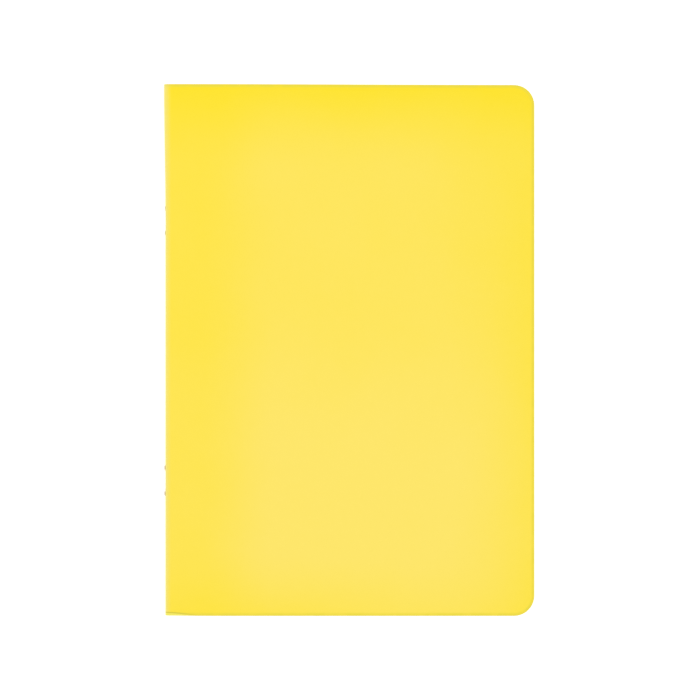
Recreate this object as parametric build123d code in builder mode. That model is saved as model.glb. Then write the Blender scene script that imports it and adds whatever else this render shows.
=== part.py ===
# Stapled exercise book, closed and lying on its back cover.
# +Z is up, the spine is at -X and the head of the book is at +Y. Millimetres.
import os

from build123d import *

# Driving dimensions
BOOK_HEIGHT = 210.0
BOOK_WIDTH = 146.0
CORNER_RADIUS = 8.0
COVER_THICKNESS = 0.40
SHEET_COUNT = 16
PAPER_THICKNESS = 0.09
SHEET_GAP = 0.01
WIRE_DIAMETER = 0.50
WIRE_BEND_RADIUS = 0.35
CROWN_LENGTH = 12.0
CLINCH_LENGTH = 5.0
STAPLE_FROM_END = 53.5
CLINCH_CLEARANCE = 0.05
HOLE_CLEARANCE = 0.03
CROWN_CLEARANCE = 0.02
LEAF_CLEARANCE = 0.25

# The fold: every sheet and the cover bend round one axis, where the staple's turned-in legs lie
clinch_space = WIRE_DIAMETER / 2 + CLINCH_CLEARANCE
sheet_pitch = PAPER_THICKNESS + SHEET_GAP
cover_inside = clinch_space + SHEET_COUNT * sheet_pitch
cover_outside = cover_inside + COVER_THICKNESS
fold_height = cover_outside

# Across the book: the staple crowns stand out of the spine and count in the overall width
crown_standout = CROWN_CLEARANCE + WIRE_DIAMETER
fore_edge_x = (BOOK_WIDTH + crown_standout) / 2
fold_x = fore_edge_x - BOOK_WIDTH + cover_outside
fold_leg = WIRE_DIAMETER / 2 + LEAF_CLEARANCE
leaf_start_x = fold_x + fold_leg
crown_x = fold_x - cover_outside - CROWN_CLEARANCE - WIRE_DIAMETER / 2

# Along the spine
staple_y = BOOK_HEIGHT / 2 - STAPLE_FROM_END
leg_places = [
    (staple + side * CROWN_LENGTH / 2, 0)
    for staple in (staple_y, -staple_y)
    for side in (1, -1)
]

# Planes through the fold axis: across it, for the fold's section, and out of the spine, for the wire's holes
fold_section = Plane(origin=(fold_x, 0, fold_height), x_dir=(1, 0, 0), z_dir=(0, -1, 0))
hole_plane = Plane(origin=(fold_x, 0, fold_height), x_dir=(0, 1, 0), z_dir=(-1, 0, 0))


def flat_half(label, bottom, thickness):
    """One flat half of a folded piece, with the two fore-edge corners rounded."""
    with BuildPart() as half:
        with BuildSketch(Plane.XY.offset(bottom)) as outline:
            with Locations((leaf_start_x, 0)):
                Rectangle(fore_edge_x - leaf_start_x, BOOK_HEIGHT, align=(Align.MIN, Align.CENTER))
            fillet(outline.vertices().group_by(Axis.X)[-1], radius=CORNER_RADIUS)
        extrude(amount=thickness)
    half.part.label = label
    export_step(half.part, f"parts/{label}.step")


def fold(label, inside, thickness):
    """The bend of a folded piece, round the fold axis, with a hole for each staple leg."""
    outside = inside + thickness
    with BuildPart() as bend:
        with BuildSketch(fold_section):
            with BuildLine():
                Line((fold_leg, outside), (0, outside))
                ThreePointArc((0, outside), (-outside, 0), (0, -outside))
                Polyline((0, -outside), (fold_leg, -outside), (fold_leg, -inside), (0, -inside))
                ThreePointArc((0, -inside), (-inside, 0), (0, inside))
                Polyline((0, inside), (fold_leg, inside), (fold_leg, outside))
            make_face()
        extrude(amount=BOOK_HEIGHT / 2, both=True)
        with BuildSketch(hole_plane):
            with Locations(leg_places):
                Circle(WIRE_DIAMETER / 2 + HOLE_CLEARANCE)
        extrude(amount=fold_x - crown_x, mode=Mode.SUBTRACT)
    bend.part.label = label
    export_step(bend.part, f"parts/{label}.step")


def staple(label, middle):
    """A wire staple: its crown outside the spine, its legs through the fold and turned in along it."""
    head_leg = middle + CROWN_LENGTH / 2
    tail_leg = middle - CROWN_LENGTH / 2
    head_tip = head_leg - CLINCH_LENGTH
    tail_tip = tail_leg + CLINCH_LENGTH
    with BuildPart() as wire:
        with BuildLine(Plane.XY.offset(fold_height)):
            FilletPolyline(
                (fold_x, head_tip),
                (fold_x, head_leg),
                (crown_x, head_leg),
                (crown_x, tail_leg),
                (fold_x, tail_leg),
                (fold_x, tail_tip),
                radius=WIRE_BEND_RADIUS,
            )
        with BuildSketch(Plane(origin=(fold_x, head_tip, fold_height), z_dir=(0, 1, 0))):
            Circle(WIRE_DIAMETER / 2)
        sweep()
    wire.part.label = label
    export_step(wire.part, f"parts/{label}.step")


os.makedirs("parts", exist_ok=True)

# The cover: one card sheet, folded round the spine
flat_half("front_cover", fold_height + cover_inside, COVER_THICKNESS)
fold("cover_spine", cover_inside, COVER_THICKNESS)
flat_half("back_cover", fold_height - cover_outside, COVER_THICKNESS)

# The sheets, numbered from the outermost, each folded inside the one before
for number in range(1, SHEET_COUNT + 1):
    sheet = f"sheet_{number:02d}"
    inside = clinch_space + (SHEET_COUNT - number) * sheet_pitch
    flat_half(f"{sheet}_front_leaf", fold_height + inside, PAPER_THICKNESS)
    fold(f"{sheet}_fold", inside, PAPER_THICKNESS)
    flat_half(f"{sheet}_back_leaf", fold_height - inside - PAPER_THICKNESS, PAPER_THICKNESS)

# The staples
staple("upper_staple", staple_y)
staple("lower_staple", -staple_y)
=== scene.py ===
import math

import bpy
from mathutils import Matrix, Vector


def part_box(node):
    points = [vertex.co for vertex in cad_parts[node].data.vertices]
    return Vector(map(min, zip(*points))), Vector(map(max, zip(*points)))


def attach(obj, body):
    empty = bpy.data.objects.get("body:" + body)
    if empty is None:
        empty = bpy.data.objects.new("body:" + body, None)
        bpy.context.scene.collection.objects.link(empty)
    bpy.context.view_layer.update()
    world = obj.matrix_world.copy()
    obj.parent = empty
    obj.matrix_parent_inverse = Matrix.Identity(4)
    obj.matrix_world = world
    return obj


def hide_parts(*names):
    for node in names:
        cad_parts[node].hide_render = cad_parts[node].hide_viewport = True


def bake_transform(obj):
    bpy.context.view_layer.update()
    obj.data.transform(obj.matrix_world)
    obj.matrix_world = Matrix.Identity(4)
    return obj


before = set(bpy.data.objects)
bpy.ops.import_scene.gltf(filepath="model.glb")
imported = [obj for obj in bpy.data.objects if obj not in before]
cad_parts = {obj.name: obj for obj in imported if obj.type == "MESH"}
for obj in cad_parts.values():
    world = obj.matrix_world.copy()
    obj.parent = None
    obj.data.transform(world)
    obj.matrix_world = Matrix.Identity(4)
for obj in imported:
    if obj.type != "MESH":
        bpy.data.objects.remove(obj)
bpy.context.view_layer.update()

MM = 0.001
SHEETS = 16

# The book's sizes, read from the solids
spine_low, spine_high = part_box("cover_spine")
front_low, front_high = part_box("front_cover")
COVER_OUTSIDE = (spine_high.z - spine_low.z) / 2
COVER_THICKNESS = front_high.z - front_low.z
COVER_INSIDE = COVER_OUTSIDE - COVER_THICKNESS
FOLD_X = spine_low.x + COVER_OUTSIDE
FOLD_Z = (spine_high.z + spine_low.z) / 2
LEG = front_low.x - FOLD_X
REACH = front_high.x - FOLD_X
HEIGHT = front_high.y - front_low.y
CORNER = 8.0 * MM

staple_low, staple_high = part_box("upper_staple")
WIRE = staple_high.z - staple_low.z
CROWN = staple_high.y - staple_low.y - WIRE
CROWN_X = staple_low.x + WIRE / 2
STAPLE_Y = (staple_high.y + staple_low.y) / 2
CLINCH = 5.0 * MM
WIRE_BEND = 0.6 * MM
WIRE_STEP = 0.12 * MM

# The crowns, in shares of their half length: how far in they are pressed, and where their shoulders turn dull
CROWN_SUNK = 0.25 * MM
PRESSED_TO, LIFTED_FROM = 0.54, 0.82
BRIGHT_TO, DULL_FROM = 0.62, 0.80

# The ends of the spine: pushed out a little at the head, its corner drawn up at the tail
HEAD_FLARE = 0.58 * MM
HEAD_SLANT = 0.40 * MM
SLANT_RUN = 150 * MM
TAIL_RISE = 0.12 * MM
RISE_RUN = 19 * MM
END_SHARPNESS = 8.0

# The crease across the tail corner of the spine, painted as a line of shade, and the card below it, painted
# pale as light on the bent corner
CORNER_CREASE = 1.25 * MM
CORNER_CREASE_WIDTH = 0.45 * MM

# Past the fold the leaves lie evenly between the covers, the innermost this share of a space off the middle
SETTLE_RUN = 14 * MM
INNERMOST_SHARE = 0.12

# Edges flatter than this angle are shaded smooth
SMOOTH_BELOW = 0.8

# The ruling of the pages
LINE_PITCH = 8.0 * MM
LINE_COUNT = 22
FIRST_LINE = HEIGHT / 2 - 24.0 * MM
LAST_LINE = FIRST_LINE - (LINE_COUNT - 1) * LINE_PITCH

# Colours
DEEP_YELLOW = (0.893, 0.690, 0.002, 1)
# The paler yellow is a painted highlight, laid over the cover's middle
HIGHLIGHT_YELLOW = (0.893, 0.708, 0.113, 1)
# Painted shade along the trimmed edges of the cover
EDGE_SHADE_YELLOW = (0.76, 0.63, 0.04, 1)
# Painted shade where the round of the spine turns from the light
FOLD_SHADE_YELLOW = (0.79, 0.70, 0.22, 1)
# Painted shade along the crease at the tail corner
CREASE_SHADE_YELLOW = (0.58, 0.50, 0.04, 1)
# Painted light on the bent card below the crease
CORNER_LIGHT_YELLOW = (0.83, 0.76, 0.12, 1)
CARD_BACK_DARK = (0.70, 0.69, 0.65, 1)
CARD_BACK_LIGHT = (0.76, 0.75, 0.72, 1)
CARD_CORE_DARK = (0.78, 0.68, 0.34, 1)
CARD_CORE_LIGHT = (0.82, 0.76, 0.56, 1)
PAGE_DARK = (0.765, 0.755, 0.715, 1)
PAGE_LIGHT = (0.80, 0.79, 0.755, 1)
RULING_BLUE = (0.27, 0.38, 0.56, 1)
PAGE_EDGE_DARK = (0.70, 0.69, 0.65, 1)
PAGE_EDGE_LIGHT = (0.78, 0.77, 0.73, 1)
STEEL_DARK = (0.90, 0.89, 0.87, 1)
STEEL_LIGHT = (0.97, 0.96, 0.95, 1)
STEEL_DULL = (0.72, 0.63, 0.54, 1)
FLOOR_WHITE = (0.92, 0.92, 0.92, 1)


# Small helpers for the node trees
def join(tree, value, socket):
    """Links a socket, or sets a plain value."""
    if isinstance(value, bpy.types.NodeSocket):
        tree.links.new(value, socket)
    else:
        socket.default_value = value


def calc(tree, operation, *values):
    """One Math node."""
    node = tree.nodes.new("ShaderNodeMath")
    node.operation = operation
    for value, socket in zip(values, node.inputs):
        join(tree, value, socket)
    return node.outputs[0]


def eased(tree, value, start, end, at_start, at_end):
    """A smooth change from one value to another."""
    node = tree.nodes.new("ShaderNodeMapRange")
    node.interpolation_type = "SMOOTHSTEP"
    for given, socket in zip((value, start, end, at_start, at_end), node.inputs):
        join(tree, given, socket)
    return node.outputs[0]


def point(tree, x, y, z):
    """A vector from its three parts."""
    node = tree.nodes.new("ShaderNodeCombineXYZ")
    for value, socket in zip((x, y, z), node.inputs):
        join(tree, value, socket)
    return node.outputs[0]


def parts_of(tree, vector):
    """The three parts of a vector."""
    node = tree.nodes.new("ShaderNodeSeparateXYZ")
    tree.links.new(vector, node.inputs[0])
    return node.outputs[:]


# Materials
def new_finish(name):
    """A new material, its node tree and its shader."""
    material = bpy.data.materials.new(name)
    material.use_nodes = True
    return material, material.node_tree, material.node_tree.nodes["Principled BSDF"]


def sheet_place(tree):
    """Where a point lies on the flat sheet: along from the fold and up from the middle, in metres."""
    node = tree.nodes.new("ShaderNodeUVMap")
    node.uv_map = "UVMap"
    return node.outputs[0]


def speckle(tree, place, size, detail=2.0):
    """Soft noise whose grains are about size metres across."""
    node = tree.nodes.new("ShaderNodeTexNoise")
    tree.links.new(place, node.inputs["Vector"])
    node.inputs["Scale"].default_value = 1 / size
    node.inputs["Detail"].default_value = detail
    return node.outputs[0]


def mixed(tree, share, first, second, blend_type="MIX"):
    """Two colours mixed."""
    node = tree.nodes.new("ShaderNodeMix")
    node.data_type = "RGBA"
    node.blend_type = blend_type
    for value, socket in zip((share, first, second), (node.inputs[0], node.inputs[6], node.inputs[7])):
        join(tree, value, socket)
    return node.outputs[2]


def raised(tree, shader, height, depth, strength):
    """Bump of the given depth in metres."""
    node = tree.nodes.new("ShaderNodeBump")
    node.inputs["Distance"].default_value = depth
    node.inputs["Strength"].default_value = strength
    tree.links.new(height, node.inputs["Height"])
    tree.links.new(node.outputs[0], shader.inputs["Normal"])


def from_the_trim(tree, along, up):
    """Distance from the trimmed edges of the cover, round its corners too."""
    over_x = calc(tree, "SUBTRACT", along, REACH - CORNER)
    over_y = calc(tree, "SUBTRACT", calc(tree, "ABSOLUTE", up), HEIGHT / 2 - CORNER)
    past_x = calc(tree, "POWER", calc(tree, "MAXIMUM", over_x, 0.0), 2.0)
    past_y = calc(tree, "POWER", calc(tree, "MAXIMUM", over_y, 0.0), 2.0)
    outer = calc(tree, "SQRT", calc(tree, "ADD", past_x, past_y))
    inner = calc(tree, "MINIMUM", calc(tree, "MAXIMUM", over_x, over_y), 0.0)
    return calc(tree, "SUBTRACT", CORNER, calc(tree, "ADD", outer, inner))


def coated_yellow_card():
    """The outside of the cover: smooth coated card, its middle painted paler as a highlight, with painted
    shade along its trimmed edges and round the spine's fold, and at the tail corner a crease painted as a
    line of shade, with painted light below it.
    """
    material, tree, shader = new_finish("coated_yellow_card")
    place = sheet_place(tree)
    along, up, _ = parts_of(tree, place)
    trim = from_the_trim(tree, along, up)
    # Painted highlight: the share by which the cover's middle is painted paler, fading towards the head, the
    # tail, the fore-edge and the spine
    from_head = eased(tree, up, HEIGHT / 2 - 36 * MM, HEIGHT / 2 + 9 * MM, 1.0, 0.0)
    past_tail = eased(tree, along, 45 * MM, 95 * MM, -HEIGHT / 2 - 25 * MM, -HEIGHT / 2 - 40 * MM)
    from_tail = eased(tree, up, past_tail, -HEIGHT / 2 + 28 * MM, 0.0, 1.0)
    lower_down = eased(tree, up, -45 * MM, 20 * MM, 1.0, 0.72)
    pale_to = eased(tree, up, 5 * MM, 55 * MM, REACH - 36 * MM, REACH - 60 * MM)
    past_fore_edge = eased(tree, up, 5 * MM, 55 * MM, REACH + 34 * MM, REACH + 60 * MM)
    from_fore_edge = eased(tree, along, pale_to, past_fore_edge, 1.0, 0.0)
    from_spine = eased(tree, along, 10 * MM, 44 * MM, 0.54, 1.0)
    pale = calc(tree, "MULTIPLY", calc(tree, "MULTIPLY", from_head, from_tail), lower_down)
    pale = calc(tree, "MULTIPLY", calc(tree, "MULTIPLY", from_fore_edge, from_spine), pale)
    cloud = eased(tree, speckle(tree, place, 30 * MM, 3.0), 0.3, 0.7, -0.03, 0.03)
    pale = calc(tree, "ADD", pale, cloud)
    colour = mixed(tree, pale, DEEP_YELLOW, HIGHLIGHT_YELLOW)
    fine = eased(tree, speckle(tree, place, 0.35 * MM, 4.0), 0.35, 0.65, 0.985, 1.0)
    colour = mixed(tree, 1.0, colour, point(tree, fine, fine, fine), "MULTIPLY")
    # Painted shade: a darker line along the trimmed edges
    painted_edge_shade = calc(tree, "MULTIPLY", eased(tree, trim, 0.5 * MM, 1.6 * MM, 1.0, 0.0),
                    eased(tree, speckle(tree, place, 5 * MM, 3.0), 0.3, 0.6, 0.6, 1.0))
    colour = mixed(tree, painted_edge_shade, colour, EDGE_SHADE_YELLOW)
    # Painted shade on the round of the spine, where it turns from the light
    painted_fold_shade = calc(tree, "MULTIPLY", eased(tree, along, -2.7 * MM, 0.4 * MM, 0.85, 0.0),
                    eased(tree, speckle(tree, place, 1.5 * MM, 4.0), 0.3, 0.65, 0.75, 1.0))
    colour = mixed(tree, painted_fold_shade, colour, FOLD_SHADE_YELLOW)
    crease = eased(tree, along, -2 * MM, 15 * MM, CORNER_CREASE, 0.0)
    above_crease = calc(tree, "SUBTRACT", calc(tree, "ADD", up, HEIGHT / 2), crease)
    near_corner = eased(tree, along, 3 * MM, 13 * MM, 1.0, 0.0)
    # Painted light on the card just below the crease, near the corner
    painted_corner_light = calc(tree, "MULTIPLY", eased(tree, above_crease, -CORNER_CREASE_WIDTH, 0.0, 0.9, 0.0), near_corner)
    colour = mixed(tree, painted_corner_light, colour, CORNER_LIGHT_YELLOW)
    # Painted shade along the crease
    painted_crease_shade = eased(tree, calc(tree, "ABSOLUTE", above_crease), 0.0, CORNER_CREASE_WIDTH, 0.9, 0.0)
    colour = mixed(tree, calc(tree, "MULTIPLY", painted_crease_shade, near_corner), colour, CREASE_SHADE_YELLOW)
    tree.links.new(colour, shader.inputs["Base Color"])
    smooth = eased(tree, speckle(tree, place, 2.5 * MM, 4.0), 0.3, 0.7, 0.40, 0.50)
    tree.links.new(smooth, shader.inputs["Roughness"])
    shader.inputs["Specular IOR Level"].default_value = 0.24
    raised(tree, shader, speckle(tree, place, 0.30 * MM, 3.0), 0.006 * MM, 0.5)
    return material


def white_card_back():
    """The uncoated inside of the cover."""
    material, tree, shader = new_finish("white_card_back")
    place = sheet_place(tree)
    fibre = eased(tree, speckle(tree, place, 0.5 * MM, 5.0), 0.3, 0.7, 0.0, 1.0)
    colour = mixed(tree, fibre, CARD_BACK_DARK, CARD_BACK_LIGHT)
    tree.links.new(colour, shader.inputs["Base Color"])
    tree.links.new(eased(tree, fibre, 0.0, 1.0, 0.78, 0.9), shader.inputs["Roughness"])
    raised(tree, shader, speckle(tree, place, 0.25 * MM, 4.0), 0.010 * MM, 0.6)
    return material


def cut_card_edge():
    """The cut edge of the cover: pale core with the yellow face showing in places."""
    material, tree, shader = new_finish("cut_card_edge")
    place = sheet_place(tree)
    fibre = eased(tree, speckle(tree, place, 0.6 * MM, 4.0), 0.3, 0.7, 0.0, 1.0)
    colour = mixed(tree, fibre, CARD_CORE_DARK, CARD_CORE_LIGHT)
    tree.links.new(colour, shader.inputs["Base Color"])
    tree.links.new(eased(tree, fibre, 0.0, 1.0, 0.7, 0.85), shader.inputs["Roughness"])
    return material


def ruled_paper():
    """A page: off-white paper with fine ruled lines."""
    material, tree, shader = new_finish("ruled_paper")
    place = sheet_place(tree)
    _, up, _ = parts_of(tree, place)
    fibre = eased(tree, speckle(tree, place, 0.7 * MM, 6.0), 0.3, 0.7, 0.0, 1.0)
    colour = mixed(tree, fibre, PAGE_DARK, PAGE_LIGHT)
    lines_down = calc(tree, "DIVIDE", calc(tree, "SUBTRACT", FIRST_LINE, up), LINE_PITCH)
    nearest = calc(tree, "SUBTRACT", calc(tree, "FRACT", calc(tree, "ADD", lines_down, 0.5)), 0.5)
    off_line = calc(tree, "MULTIPLY", calc(tree, "ABSOLUTE", nearest), LINE_PITCH)
    on_line = eased(tree, off_line, 0.10 * MM, 0.19 * MM, 0.9, 0.0)
    below_top = calc(tree, "LESS_THAN", up, FIRST_LINE + LINE_PITCH / 2)
    above_foot = calc(tree, "GREATER_THAN", up, LAST_LINE - LINE_PITCH / 2)
    on_line = calc(tree, "MULTIPLY", on_line, calc(tree, "MULTIPLY", below_top, above_foot))
    colour = mixed(tree, on_line, colour, RULING_BLUE)
    tree.links.new(colour, shader.inputs["Base Color"])
    tree.links.new(eased(tree, fibre, 0.0, 1.0, 0.82, 0.92), shader.inputs["Roughness"])
    shader.inputs["Specular IOR Level"].default_value = 0.3
    raised(tree, shader, speckle(tree, place, 0.30 * MM, 4.0), 0.006 * MM, 0.5)
    return material


def cut_paper_edge():
    """The trimmed edges of the leaves."""
    material, tree, shader = new_finish("cut_paper_edge")
    place = sheet_place(tree)
    fibre = eased(tree, speckle(tree, place, 1.2 * MM, 5.0), 0.3, 0.7, 0.0, 1.0)
    colour = mixed(tree, fibre, PAGE_EDGE_DARK, PAGE_EDGE_LIGHT)
    tree.links.new(colour, shader.inputs["Base Color"])
    tree.links.new(eased(tree, fibre, 0.0, 1.0, 0.85, 0.95), shader.inputs["Roughness"])
    return material


def staple_steel():
    """Bright drawn wire, with a dull brown skin where it is bent."""
    material, tree, shader = new_finish("staple_steel")
    place = tree.nodes.new("ShaderNodeTexCoord").outputs["Object"]
    bent = tree.nodes.new("ShaderNodeAttribute")
    bent.attribute_name = "bent"
    skin = eased(tree, speckle(tree, place, 0.8 * MM, 4.0), 0.35, 0.65, 0.0, 1.0)
    colour = mixed(tree, skin, STEEL_DARK, STEEL_LIGHT)
    dulled = calc(tree, "MULTIPLY", bent.outputs["Fac"], eased(tree, skin, 0.0, 1.0, 1.0, 0.8))
    colour = mixed(tree, dulled, colour, STEEL_DULL)
    tree.links.new(colour, shader.inputs["Base Color"])
    tree.links.new(eased(tree, dulled, 0.0, 1.0, 0.30, 0.46), shader.inputs["Roughness"])
    shader.inputs["Metallic"].default_value = 1.0
    drawn = tree.nodes.new("ShaderNodeMapping")
    drawn.inputs["Scale"].default_value = (20000, 900, 20000)
    tree.links.new(place, drawn.inputs["Vector"])
    raised(tree, shader, speckle(tree, drawn.outputs[0], 1.0, 2.0), 0.004 * MM, 0.4)
    return material


# Geometry trees
def new_tree(name, sizes):
    """An empty geometry tree with named inputs, and the inputs by name."""
    tree = bpy.data.node_groups.new(name, "GeometryNodeTree")
    tree.interface.new_socket("Geometry", in_out="OUTPUT", socket_type="NodeSocketGeometry")
    for label, kind in sizes:
        tree.interface.new_socket(label, in_out="INPUT", socket_type=f"NodeSocket{kind}")
    given = tree.nodes.new("NodeGroupInput").outputs
    return tree, {label: given[label] for label, _ in sizes}


def step(tree, kind, *inputs, **settings):
    """One geometry node, its inputs given in order as (socket name, value)."""
    node = tree.nodes.new(kind)
    for name, value in settings.items():
        setattr(node, name, value)
    for name, value in inputs:
        join(tree, value, node.inputs[name])
    return node.outputs[0]


def folded_half_tree():
    """Half of a folded piece: a quarter round the fold, then a flat with two rounded corners."""
    tree, size = new_tree("folded_half", [
        ("Fold X", "Float"), ("Fold Z", "Float"), ("Side", "Float"), ("Inside Radius", "Float"),
        ("Thickness", "Float"), ("Turn From", "Float"), ("Turn To", "Float"), ("Start", "Float"),
        ("Reach", "Float"), ("Height", "Float"), ("Corner Radius", "Float"), ("Settle", "Float"),
        ("Settle Run", "Float"), ("Crowding", "Float"), ("Spine", "Float"), ("Tail Rise", "Float"),
        ("Rise Run", "Float"), ("Head Slant", "Float"), ("Slant Run", "Float"), ("Head Flare", "Float"),
        ("Bend Steps", "Int"), ("Flat Steps", "Int"), ("Corner Steps", "Int"), ("Rows", "Int"),
        ("Outside", "Material"), ("Inside", "Material"), ("Edge", "Material"),
    ])
    before_corner = calc(tree, "ADD", size["Bend Steps"], size["Flat Steps"])
    last = calc(tree, "ADD", before_corner, size["Corner Steps"])
    slab = step(tree, "GeometryNodeMeshCube",
                ("Size", point(tree, last, 2.0, 1.0)),
                ("Vertices X", calc(tree, "ADD", last, 1.0)),
                ("Vertices Y", calc(tree, "ADD", size["Rows"], 1.0)),
                ("Vertices Z", 2))
    across, share_up, layer = parts_of(tree, tree.nodes.new("GeometryNodeInputPosition").outputs[0])
    column = calc(tree, "ADD", across, calc(tree, "MULTIPLY", last, 0.5))
    layer = calc(tree, "ADD", layer, 0.5)

    def share_of(before, steps):
        """How far a column is through a stretch of columns, from 0 to 1."""
        return step(tree, "ShaderNodeClamp",
                    ("Value", calc(tree, "DIVIDE", calc(tree, "SUBTRACT", column, before), steps)))

    in_bend = share_of(0.0, size["Bend Steps"])
    in_flat = calc(tree, "POWER", share_of(size["Bend Steps"], size["Flat Steps"]), size["Crowding"])
    in_corner = share_of(before_corner, size["Corner Steps"])

    turn_left = calc(tree, "SUBTRACT", size["Turn To"], size["Turn From"])
    quarter = calc(tree, "ADD", size["Turn From"], calc(tree, "MULTIPLY", in_bend, turn_left))
    turn = calc(tree, "MULTIPLY", quarter, math.pi / 2)
    corner_turn = calc(tree, "MULTIPLY", in_corner, math.pi / 2)
    flat_end = calc(tree, "SUBTRACT", size["Reach"], size["Corner Radius"])
    flat_length = calc(tree, "SUBTRACT", flat_end, size["Start"])
    into_corner = calc(tree, "MULTIPLY", size["Corner Radius"], calc(tree, "SINE", corner_turn))
    flat = calc(tree, "ADD", size["Start"], calc(tree, "MULTIPLY", in_flat, flat_length))
    flat = calc(tree, "ADD", flat, into_corner)
    inset = calc(tree, "MULTIPLY", size["Corner Radius"],
                 calc(tree, "SUBTRACT", 1.0, calc(tree, "COSINE", corner_turn)))
    half_height = calc(tree, "SUBTRACT", calc(tree, "MULTIPLY", size["Height"], 0.5), inset)
    flat_up = calc(tree, "MULTIPLY", share_up, half_height)
    radius = calc(tree, "ADD", size["Inside Radius"], calc(tree, "MULTIPLY", layer, size["Thickness"]))

    outward = calc(tree, "COSINE", turn)
    upward = calc(tree, "SINE", turn)
    from_spine = calc(tree, "SUBTRACT", flat, calc(tree, "MULTIPLY", size["Spine"], outward))
    from_spine = calc(tree, "ADD", from_spine, size["Spine"])
    near_end = calc(tree, "POWER", calc(tree, "ABSOLUTE", share_up), END_SHARPNESS)
    at_head = calc(tree, "MULTIPLY", near_end, calc(tree, "GREATER_THAN", share_up, 0.0))
    at_tail = calc(tree, "MULTIPLY", near_end, calc(tree, "LESS_THAN", share_up, 0.0))
    level = calc(tree, "MULTIPLY", calc(tree, "MULTIPLY", radius, size["Side"]), upward)
    level = calc(tree, "MULTIPLY", calc(tree, "ADD", calc(tree, "DIVIDE", level, size["Spine"]), 1.0), 0.5)
    rise = eased(tree, from_spine, 0.0, size["Rise Run"], size["Tail Rise"], 0.0)
    rise = calc(tree, "MULTIPLY", calc(tree, "MULTIPLY", rise, level), at_tail)
    slant = eased(tree, from_spine, 0.0, size["Slant Run"], size["Head Slant"], 0.0)
    slant = calc(tree, "MULTIPLY", slant, at_head)
    up = calc(tree, "ADD", flat_up, calc(tree, "ADD", rise, slant))

    flare = eased(tree, share_up, 0.5, 1.0, 0.0, size["Head Flare"])
    radius = calc(tree, "ADD", radius, calc(tree, "MULTIPLY", flare, calc(tree, "POWER", outward, 2.0)))
    settled = eased(tree, flat, 0.0, size["Settle Run"], 0.0, size["Settle"])
    x = calc(tree, "SUBTRACT", flat, calc(tree, "MULTIPLY", radius, outward))
    z = calc(tree, "SUBTRACT", calc(tree, "MULTIPLY", radius, upward), settled)
    z = calc(tree, "MULTIPLY", z, size["Side"])
    place = point(tree, calc(tree, "ADD", size["Fold X"], x), up, calc(tree, "ADD", size["Fold Z"], z))
    round_fold = calc(tree, "MULTIPLY", size["Inside Radius"], calc(tree, "SUBTRACT", math.pi / 2, turn))
    along = calc(tree, "SUBTRACT", flat, round_fold)

    slab = step(tree, "GeometryNodeStoreNamedAttribute", ("Geometry", slab), ("Name", "layer"),
                ("Value", layer), data_type="FLOAT", domain="FACE")
    slab = step(tree, "GeometryNodeStoreNamedAttribute", ("Geometry", slab), ("Name", "UVMap"),
                ("Value", point(tree, along, flat_up, 0.0)), data_type="FLOAT2", domain="CORNER")
    sheet = step(tree, "GeometryNodeSetPosition", ("Geometry", slab), ("Position", place))
    sheet = step(tree, "GeometryNodeFlipFaces", ("Mesh", sheet),
                 ("Selection", calc(tree, "LESS_THAN", size["Side"], 0.0)))
    layer_of_face = step(tree, "GeometryNodeInputNamedAttribute", ("Name", "layer"), data_type="FLOAT")
    outside = calc(tree, "GREATER_THAN", layer_of_face, 0.9)
    inside = calc(tree, "LESS_THAN", layer_of_face, 0.1)
    sheet = step(tree, "GeometryNodeSetShadeSmooth", ("Geometry", sheet),
                 ("Shade Smooth", calc(tree, "ADD", outside, inside)), domain="FACE")
    edge_angle = tree.nodes.new("GeometryNodeInputMeshEdgeAngle").outputs["Unsigned Angle"]
    sheet = step(tree, "GeometryNodeSetShadeSmooth", ("Geometry", sheet),
                 ("Shade Smooth", calc(tree, "LESS_THAN", edge_angle, SMOOTH_BELOW)), domain="EDGE")
    sheet = step(tree, "GeometryNodeRealizeInstances", ("Geometry", sheet))
    sheet = step(tree, "GeometryNodeSetMaterial", ("Geometry", sheet), ("Material", size["Edge"]))
    sheet = step(tree, "GeometryNodeSetMaterial", ("Geometry", sheet), ("Selection", outside),
                 ("Material", size["Outside"]))
    sheet = step(tree, "GeometryNodeSetMaterial", ("Geometry", sheet), ("Selection", inside),
                 ("Material", size["Inside"]))
    tree.links.new(sheet, tree.nodes.new("NodeGroupOutput").inputs[0])
    return tree


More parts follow.
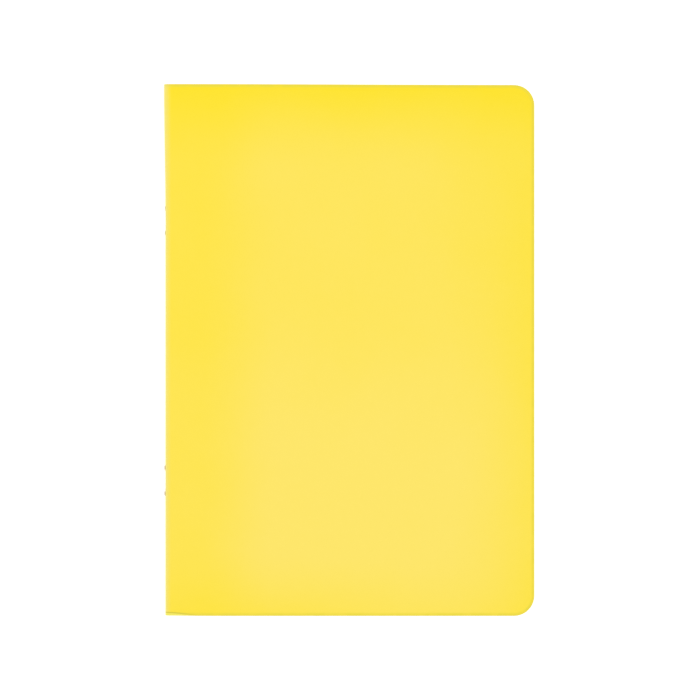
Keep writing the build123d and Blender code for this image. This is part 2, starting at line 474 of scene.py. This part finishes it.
def bent_wire_tree():
    """A staple: round wire along its crown, legs and turned-in ends, the middle of the crown pressed in."""
    tree, size = new_tree("bent_wire", [
        ("Fold X", "Float"), ("Crown X", "Float"), ("Wire Z", "Float"), ("Middle", "Float"),
        ("Crown Length", "Float"), ("Clinch Length", "Float"), ("Wire Diameter", "Float"),
        ("Bend Radius", "Float"), ("Sunk", "Float"), ("Dulling", "Float"), ("Steel", "Material"),
    ])
    # The wire's six corners, counted both ways from the middle of the crown
    corner = tree.nodes.new("GeometryNodeInputIndex").outputs[0]
    from_middle = calc(tree, "SUBTRACT", 2.5, corner)
    corners_away = calc(tree, "ABSOLUTE", from_middle)
    is_crown = calc(tree, "LESS_THAN", corners_away, 1.0)
    is_tip = calc(tree, "GREATER_THAN", corners_away, 2.0)
    half_crown = calc(tree, "MULTIPLY", size["Crown Length"], 0.5)
    out = calc(tree, "SUBTRACT", half_crown, calc(tree, "MULTIPLY", is_tip, size["Clinch Length"]))
    y = calc(tree, "ADD", size["Middle"], calc(tree, "MULTIPLY", out, calc(tree, "SIGN", from_middle)))
    leg_run = calc(tree, "SUBTRACT", size["Crown X"], size["Fold X"])
    x = calc(tree, "ADD", size["Fold X"], calc(tree, "MULTIPLY", is_crown, leg_run))
    line = step(tree, "GeometryNodeMeshLine", ("Count", 6))
    line = step(tree, "GeometryNodeSetPosition", ("Geometry", line),
                ("Position", point(tree, x, y, size["Wire Z"])))
    path = step(tree, "GeometryNodeMeshToCurve", ("Mesh", line))
    path = step(tree, "GeometryNodeFilletCurve", ("Curve", path), ("Count", 8),
                ("Radius", size["Bend Radius"]), ("Limit Radius", True), mode="POLY")
    path = step(tree, "GeometryNodeResampleCurve", ("Curve", path), ("Length", WIRE_STEP), mode="LENGTH")
    at_x, at_y, _ = parts_of(tree, tree.nodes.new("GeometryNodeInputPosition").outputs[0])
    off_middle = calc(tree, "ABSOLUTE", calc(tree, "SUBTRACT", at_y, size["Middle"]))
    along_crown = calc(tree, "DIVIDE", off_middle, half_crown)
    outward = calc(tree, "DIVIDE", calc(tree, "SUBTRACT", at_x, size["Fold X"]), leg_run)
    sunk = calc(tree, "MULTIPLY", eased(tree, along_crown, PRESSED_TO, LIFTED_FROM, size["Sunk"], 0.0),
                calc(tree, "GREATER_THAN", outward, 0.5))
    bent = calc(tree, "MULTIPLY", eased(tree, along_crown, BRIGHT_TO, DULL_FROM, 0.0, size["Dulling"]),
                eased(tree, outward, 0.3, 0.6, 0.0, 1.0))
    path = step(tree, "GeometryNodeStoreNamedAttribute", ("Geometry", path), ("Name", "bent"),
                ("Value", bent), data_type="FLOAT", domain="POINT")
    path = step(tree, "GeometryNodeSetPosition", ("Geometry", path), ("Offset", point(tree, sunk, 0.0, 0.0)))
    section = step(tree, "GeometryNodeCurvePrimitiveCircle", ("Resolution", 20),
                   ("Radius", calc(tree, "MULTIPLY", size["Wire Diameter"], 0.5)))
    wire = step(tree, "GeometryNodeCurveToMesh", ("Curve", path), ("Profile Curve", section),
                ("Fill Caps", True))
    wire = step(tree, "GeometryNodeRealizeInstances", ("Geometry", wire))
    wire = step(tree, "GeometryNodeSetMaterial", ("Geometry", wire), ("Material", size["Steel"]))
    tree.links.new(wire, tree.nodes.new("NodeGroupOutput").inputs[0])
    return tree


def grown(name, tree, **sizes):
    """A plain mesh piece from a tree and its named sizes."""
    piece = bpy.data.objects.new(name, bpy.data.meshes.new(name))
    bpy.context.scene.collection.objects.link(piece)
    modifier = piece.modifiers.new(tree.name, "NODES")
    modifier.node_group = tree
    sockets = {item.name: item.identifier for item in tree.interface.items_tree if item.in_out == "INPUT"}
    for label, value in sizes.items():
        modifier[sockets[label.replace("_", " ")]] = value
    depsgraph = bpy.context.evaluated_depsgraph_get()
    mesh = bpy.data.meshes.new_from_object(piece.evaluated_get(depsgraph), preserve_all_data_layers=True,
                                           depsgraph=depsgraph)
    piece.modifiers.remove(modifier)
    old = piece.data
    piece.data = mesh
    bpy.data.meshes.remove(old)
    # A slab starts with an empty slot of its own
    if mesh.materials[0] is None:
        mesh.materials.pop(index=0)
    mesh.name = name
    return piece


yellow = coated_yellow_card()
card_back = white_card_back()
card_edge = cut_card_edge()
paper = ruled_paper()
paper_edge = cut_paper_edge()
steel = staple_steel()
folded_half = folded_half_tree()
bent_wire = bent_wire_tree()


def folded(name, side, **sizes):
    """Half of the cover or of a sheet, or part of a half, on the fold axis."""
    chosen = dict(
        Fold_X=FOLD_X, Fold_Z=FOLD_Z, Side=side,
        Turn_From=0.0, Turn_To=1.0, Start=0.0, Reach=REACH, Height=HEIGHT, Corner_Radius=CORNER,
        Settle=0.0, Settle_Run=SETTLE_RUN, Crowding=1.0,
        Bend_Steps=12, Flat_Steps=24, Corner_Steps=10, Rows=6, Spine=COVER_OUTSIDE,
        Tail_Rise=TAIL_RISE, Rise_Run=RISE_RUN, Head_Slant=HEAD_SLANT, Slant_Run=SLANT_RUN, Head_Flare=0.0,
        Outside=paper, Inside=paper, Edge=paper_edge,
    )
    return grown(name, folded_half, **(chosen | sizes))


# Each piece of a fold has its placement baked into its mesh
def bend_front(piece):
    """The front part of a fold, its placement baked into its mesh."""
    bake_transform(piece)


def bend_back(piece):
    """The back part of a fold, its placement baked into its mesh."""
    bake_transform(piece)


def bend_middle(piece):
    """The middle of the spine, its placement baked into its mesh."""
    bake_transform(piece)


# The cover: the back with the start of the spine, the middle of the spine in two, its end, and the front
card = dict(Inside_Radius=COVER_INSIDE, Thickness=COVER_THICKNESS, Head_Flare=HEAD_FLARE, Rows=48,
            Outside=yellow, Inside=card_back, Edge=card_edge)
flat_card = card | dict(Flat_Steps=48, Crowding=2.4)
spine_card = card | dict(Reach=0.0, Corner_Radius=0.0, Flat_Steps=0, Corner_Steps=0)

cover_back = folded("cover_back", -1.0, **(flat_card | dict(Turn_From=0.5)))
bend_back(cover_back)
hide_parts("back_cover")

spine_back = folded("cover_spine_back_half", -1.0, **(spine_card | dict(Turn_To=0.5)))
spine_front = folded("cover_spine_front_half", 1.0, **(spine_card | dict(Turn_To=0.5)))
bend_middle(spine_back)
bend_middle(spine_front)
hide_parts("cover_spine")

spine_end = folded("cover_spine_front_end", 1.0, **(spine_card | dict(Turn_From=0.5)))
bend_front(spine_end)

cover_front = folded("cover_front", 1.0, **(flat_card | dict(Turn_From=1.0, Bend_Steps=0, Flat_Steps=110)))
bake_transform(cover_front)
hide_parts("front_cover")

# The sheets, each in three: the front leaf with its half of the fold, the rest of the fold, and the back leaf
for number in range(1, SHEETS + 1):
    sheet = f"sheet_{number:02d}"
    fold_low, fold_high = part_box(f"{sheet}_fold")
    leaf_low, leaf_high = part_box(f"{sheet}_front_leaf")
    thickness = leaf_high.z - leaf_low.z
    inside = (fold_high.z - fold_low.z) / 2 - thickness
    middle = inside + thickness / 2
    even = (SHEETS - number + INNERMOST_SHARE) * COVER_INSIDE / SHEETS
    leaf = dict(Inside_Radius=inside, Thickness=thickness, Settle=inside - even, Crowding=2.0)
    front = folded(f"{sheet}_front", 1.0, **leaf)
    bend_front(front)
    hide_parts(f"{sheet}_front_leaf")
    round_fold = folded(f"{sheet}_fold_back_half", -1.0,
                        **(leaf | dict(Reach=LEG, Corner_Radius=0.0, Flat_Steps=1, Corner_Steps=0)))
    bend_back(round_fold)
    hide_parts(f"{sheet}_fold")
    back = folded(f"{sheet}_back", -1.0, **(leaf | dict(Turn_From=1.0, Start=LEG, Bend_Steps=0)))
    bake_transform(back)
    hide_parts(f"{sheet}_back_leaf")

# The staples
for label, middle, dulling in (("upper", STAPLE_Y, 0.0), ("lower", -STAPLE_Y, 1.0)):
    wire = grown(f"{label}_staple_wire", bent_wire, Fold_X=FOLD_X, Crown_X=CROWN_X, Wire_Z=FOLD_Z,
                 Middle=middle, Crown_Length=CROWN, Clinch_Length=CLINCH, Wire_Diameter=WIRE,
                 Bend_Radius=WIRE_BEND, Sunk=CROWN_SUNK, Dulling=dulling, Steel=steel)
    # Round sides, flat ends
    for face in wire.data.polygons:
        face.use_smooth = len(face.vertices) == 4
    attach(wire, "binding")
    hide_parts(f"{label}_staple")

# A pale floor
floor_mesh = bpy.data.meshes.new("floor")
floor_mesh.from_pydata([(-3, -3, 0), (3, -3, 0), (3, 3, 0), (-3, 3, 0)], [], [(0, 1, 2, 3)])
floor = bpy.data.objects.new("floor", floor_mesh)
bpy.context.scene.collection.objects.link(floor)
pale_floor, _, floor_shader = new_finish("pale_floor")
floor_shader.inputs["Base Color"].default_value = FLOOR_WHITE
floor_shader.inputs["Roughness"].default_value = 0.9
floor_shader.inputs["Specular IOR Level"].default_value = 0.1
floor_shader.inputs["Emission Color"].default_value = (1, 1, 1, 1)
floor_shader.inputs["Emission Strength"].default_value = 0.25
floor_mesh.materials.append(pale_floor)

# Soft studio light
scene = bpy.context.scene
world = bpy.data.worlds.new("studio")
world.use_nodes = True
world.node_tree.nodes["Background"].inputs[0].default_value = (1, 1, 1, 1)
world.node_tree.nodes["Background"].inputs[1].default_value = 0.85
scene.world = world
scene.view_settings.view_transform = "Standard"
scene.view_settings.look = "None"


def soft_light(name, place, width, watts):
    """A square soft box that faces the book."""
    light = bpy.data.lights.new(name, "AREA")
    light.size = width
    light.energy = watts
    lamp = bpy.data.objects.new(name, light)
    lamp.location = place
    lamp.rotation_mode = "QUATERNION"
    lamp.rotation_quaternion = (-lamp.location).to_track_quat("-Z", "Y")
    scene.collection.objects.link(lamp)


soft_light("window_side", (-0.8, 0.6, 1.0), 0.9, 4.0)
soft_light("fill_side", (0.9, -0.5, 0.8), 0.9, 2.0)
soft_light("overhead", (0.0, -0.1, 1.8), 0.6, 2.5)

# The camera, straight above the front cover
camera = bpy.data.cameras.new("camera")
camera.lens = 200
camera.sensor_width = 36
lens = bpy.data.objects.new("camera", camera)
lens.location = (0.36 * MM, 0.18 * MM, 1.5431)
scene.collection.objects.link(lens)
scene.camera = lens
